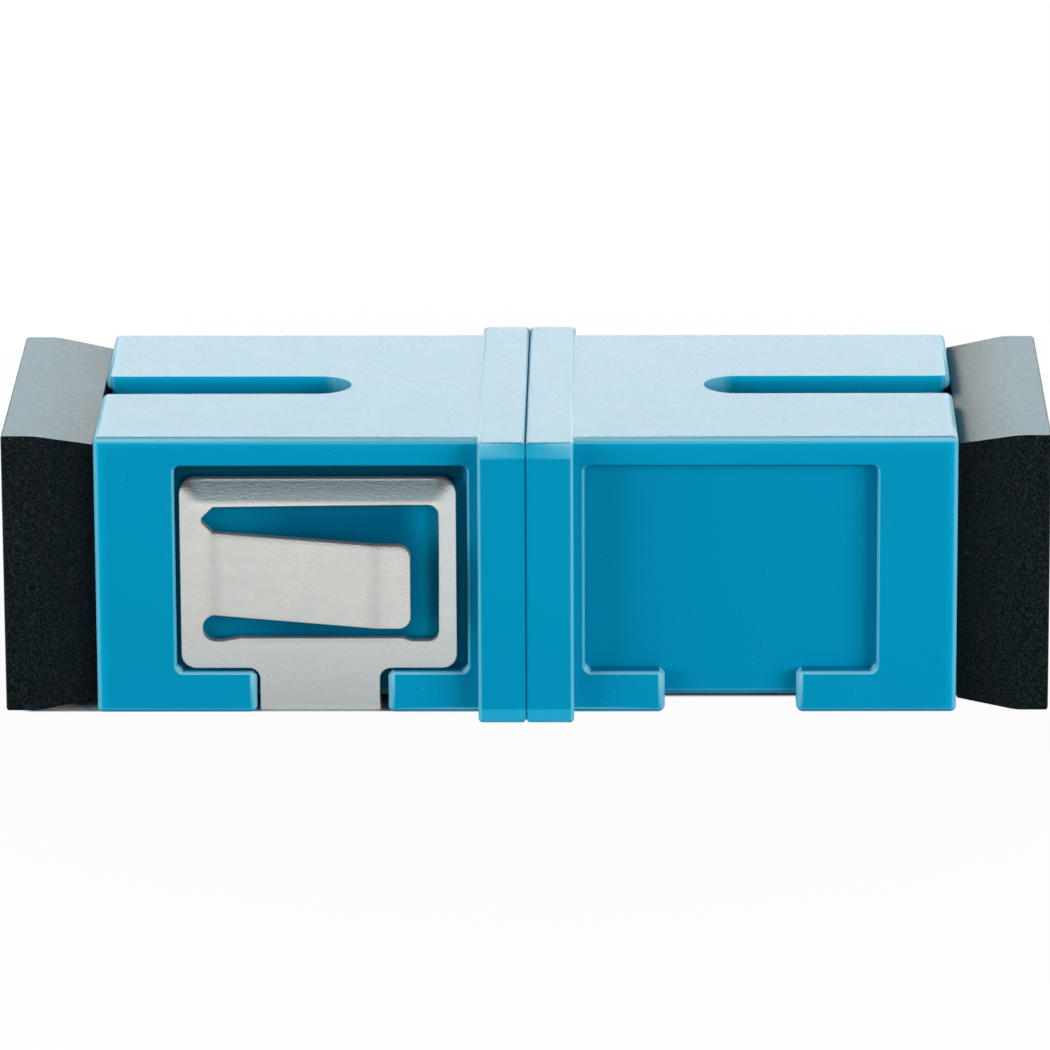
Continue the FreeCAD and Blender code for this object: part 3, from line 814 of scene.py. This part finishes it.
def addClip(shape, material):
    at = clipPlaces(shape, *(np.array(corner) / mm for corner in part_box("retaining_clip")))
    mesh = sheetMesh(clipBlank(shape, at), shape, *cutLines(shape, at))
    points = np.empty(len(mesh.vertices) * 3, np.float32)
    mesh.vertices.foreach_get("co", points)
    flat = points.reshape(-1, 3).astype(float)
    storeClipShares(mesh, flat, shape, at)
    folded = foldBlank(flat, shape, at) * mm
    mesh.vertices.foreach_set("co", folded.astype(np.float32).ravel())
    mesh.update()
    work = bmesh.new()
    work.from_mesh(mesh)
    bmesh.ops.recalc_face_normals(work, faces=work.faces)
    for face in work.faces:
        face.smooth = True
    work.to_mesh(mesh)
    work.free()
    mesh.name = "retainingClip"
    piece = bpy.data.objects.new("retainingClip", mesh)
    bpy.context.scene.collection.objects.link(piece)
    facesFirst(piece, smoothing["flatWeight"])
    mesh.materials.clear()
    mesh.materials.append(material)
    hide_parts("retaining_clip")
    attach(piece, frame["nodes"]["retaining_clip"]["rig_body"])
    print("folded the clip,", len(mesh.polygons), "faces")


addClip(clipShape, clipSteel(clipLook))


floorLook = {
    "size": 3.0,                # metres
    "clearance": 0.01,          # under the object's lowest faces
    "colour": (0.64, 0.64, 0.64),
    "dull": 0.98,               # of that colour, in the paper's clouds
    "grainScale": 60,
    "roughness": 0.9,
    "specular": 0.1,
    # white for the camera, which is a share of plain light
    "white": (0.96, 1),         # near the object and away from it
    "whiteFrom": (0.02, 0.05),  # metres between which it changes
    # white in reflections
    "mirrored": (0.47, 0.95),
    "mirroredFrom": (6.4, 20),  # from the optical axis
    "noMirror": (4.8, 6.0),     # it starts between these, as there is none under the object
    # floor in the object's own shadow, which stays dark under the caps' tapers: how far it goes past the port
    # face, where it starts from the weld plane, and its half width
    "underLeft": {"pastPort": 2.1, "start": 1.5, "fade": 0.5, "halfWidth": 5.95, "sideFade": 0.12},
    "underRight": {"pastPort": 0, "start": -1.6, "fade": 1.9, "halfWidth": 4.25, "sideFade": 0.3},
}


def addFloor(look):
    half = look["size"] / 2
    low = cadBox[0].z - look["clearance"] * mm
    mesh = bpy.data.meshes.new("floor")
    corners = [(-half, -half, low), (half, -half, low), (half, half, low), (-half, half, low)]
    mesh.from_pydata(corners, [], [(0, 1, 2, 3)])
    floor = bpy.data.objects.new("floor", mesh)
    bpy.context.scene.collection.objects.link(floor)
    material, shader = newMaterial("floorPaper")
    paper = spread(material, objectNoise(material, look["grainScale"]), 0, 1)
    dull = tuple(look["dull"] * value for value in look["colour"])
    link(material, blend(material, paper, look["colour"], dull), shader.inputs["Base Color"])
    shader.inputs["Roughness"].default_value = look["roughness"]
    shader.inputs["Specular IOR Level"].default_value = look["specular"]
    # white to the camera and to reflections, while the diffuse share keeps the object's shadow
    along, across, *_ = objectPlace(material)
    coordinate = addNode(material, "ShaderNodeTexCoord")
    distance = addNode(material, "ShaderNodeVectorMath", operation="LENGTH")
    link(material, coordinate.outputs["Object"], distance.inputs[0])
    seen = spread(material, distance.outputs["Value"], *look["white"], *look["whiteFrom"])
    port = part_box("housing_right")[1].x
    for side, plan in ((-1, look["underLeft"]), (1, look["underRight"])):
        start, end, fade = plan["start"] * mm, port + plan["pastPort"] * mm, plan["fade"] * mm
        under = times(
            material,
            insideRange(material, times(material, along, side), start, end, fade),
            below(material, across, plan["halfWidth"] * mm, plan["sideFade"] * mm),
        )
        seen = times(material, seen, maths(material, "SUBTRACT", 1, under))
    mirrored = spread(material, across, *look["mirrored"], *metres(look["mirroredFrom"]))
    mirrored = times(material, mirrored, spread(material, across, 0, 1, *metres(look["noMirror"])))
    path = addNode(material, "ShaderNodeLightPath").outputs
    inMirror = maths(material, "MAXIMUM", path["Is Glossy Ray"], path["Is Transmission Ray"])
    share = maths(
        material, "ADD", times(material, path["Is Camera Ray"], seen), times(material, inMirror, mirrored)
    )
    white = addNode(material, "ShaderNodeEmission", Strength=1.0)
    mix = addNode(material, "ShaderNodeMixShader")
    link(material, share, mix.inputs["Fac"])
    link(material, shader.outputs["BSDF"], mix.inputs[1])
    link(material, white.outputs["Emission"], mix.inputs[2])
    link(material, mix.outputs["Shader"], material.node_tree.nodes["Material Output"].inputs["Surface"])
    mesh.materials.append(material)


addFloor(floorLook)


lightPlan = {
    # azimuth and elevation in degrees, seen from the object; distance and size in metres
    "backSoftbox": {
        "azimuth": 90, "elevation": 17, "distance": 0.6, "size": (0.95, 0.14),
        "watts": 2.40, "colour": (0.98, 0.98, 0.965), "inReflections": True,
    },
    "leftSoftbox": {
        "azimuth": -150, "elevation": 6, "distance": 0.6, "size": (0.40, 0.35),
        "watts": 3.5, "colour": (1, 1, 1), "inReflections": False,
    },
    "rightSoftbox": {
        "azimuth": -42, "elevation": 6, "distance": 0.6, "size": (0.40, 0.35),
        "watts": 4.25, "colour": (1, 1, 1), "inReflections": False,
    },
}


def addLight(name, plan):
    azimuth, elevation = (math.radians(plan[angle]) for angle in ("azimuth", "elevation"))
    level = math.cos(elevation)
    direction = Vector((level * math.cos(azimuth), level * math.sin(azimuth), math.sin(elevation)))
    data = bpy.data.lights.new(name, "AREA")
    data.shape = "RECTANGLE"
    data.size, data.size_y = plan["size"]
    data.energy = plan["watts"]
    data.color = plan["colour"]
    lamp = bpy.data.objects.new(name, data)
    lamp.location = direction * plan["distance"]
    lamp.rotation_euler = direction.to_track_quat("Z", "Y").to_euler()
    lamp.visible_camera = False
    lamp.visible_glossy = plan["inReflections"]
    bpy.context.scene.collection.objects.link(lamp)


skyPlan = {
    "front": 0.04, "back": 0.14, "top": 0.14,   # greys
    "backFrom": (-0.5, 0.5),    # the direction's part towards the back, between which front turns into back
    "topFrom": (0.25, 0.75),    # its upward part, between which both turn into top
}


def addSky(plan):
    # a soft grey sky, darker low down in front and lighter behind and above
    world = bpy.data.worlds.new("studio")
    bpy.context.scene.world = world
    world.use_nodes = True
    background = world.node_tree.nodes["Background"]
    coordinate = addNode(world, "ShaderNodeTexCoord")
    parts = addNode(world, "ShaderNodeSeparateXYZ")
    link(world, coordinate.outputs["Generated"], parts.inputs["Vector"])
    low = spread(world, parts.outputs["Y"], plan["front"], plan["back"], *plan["backFrom"], "SMOOTHSTEP")
    upward = spread(world, parts.outputs["Z"], 0, 1, *plan["topFrom"], "SMOOTHSTEP")
    link(world, between(world, upward, low, plan["top"]), background.inputs["Color"])
    background.inputs["Strength"].default_value = 1.0


for lampName, lampPlan in lightPlan.items():
    addLight(lampName, lampPlan)
addSky(skyPlan)
print("floor and light ready")


cameraPlan = {
    "place": (3.33, -262.51, 77.36),
    "yaw": -0.7504,             # degrees to the right of +Y
    "pitch": 16.4518,           # degrees down
    "roll": -0.2713,            # degrees
    "lens": 283.56,
    "sensor": 36.0,
    "sight": (0.01, 20),        # metres
}


def addCamera(plan):
    yaw, pitch, roll = (math.radians(plan[key]) for key in ("yaw", "pitch", "roll"))
    forward = Vector((math.sin(yaw) * math.cos(pitch), math.cos(yaw) * math.cos(pitch), -math.sin(pitch)))
    level = Vector((math.cos(yaw), -math.sin(yaw), 0))
    upright = level.cross(forward)
    right = level * math.cos(roll) + upright * math.sin(roll)
    up = upright * math.cos(roll) - level * math.sin(roll)
    data = bpy.data.cameras.new("camera")
    data.lens = plan["lens"]
    data.sensor_width = plan["sensor"]
    data.clip_start, data.clip_end = plan["sight"]
    camera = bpy.data.objects.new("camera", data)
    turn = Matrix((right, up, -forward)).transposed().to_4x4()
    camera.matrix_world = Matrix.Translation(Vector(plan["place"]) * mm) @ turn
    bpy.context.scene.collection.objects.link(camera)
    bpy.context.scene.camera = camera


addCamera(cameraPlan)
bpy.context.scene.view_settings.view_transform = "Standard"
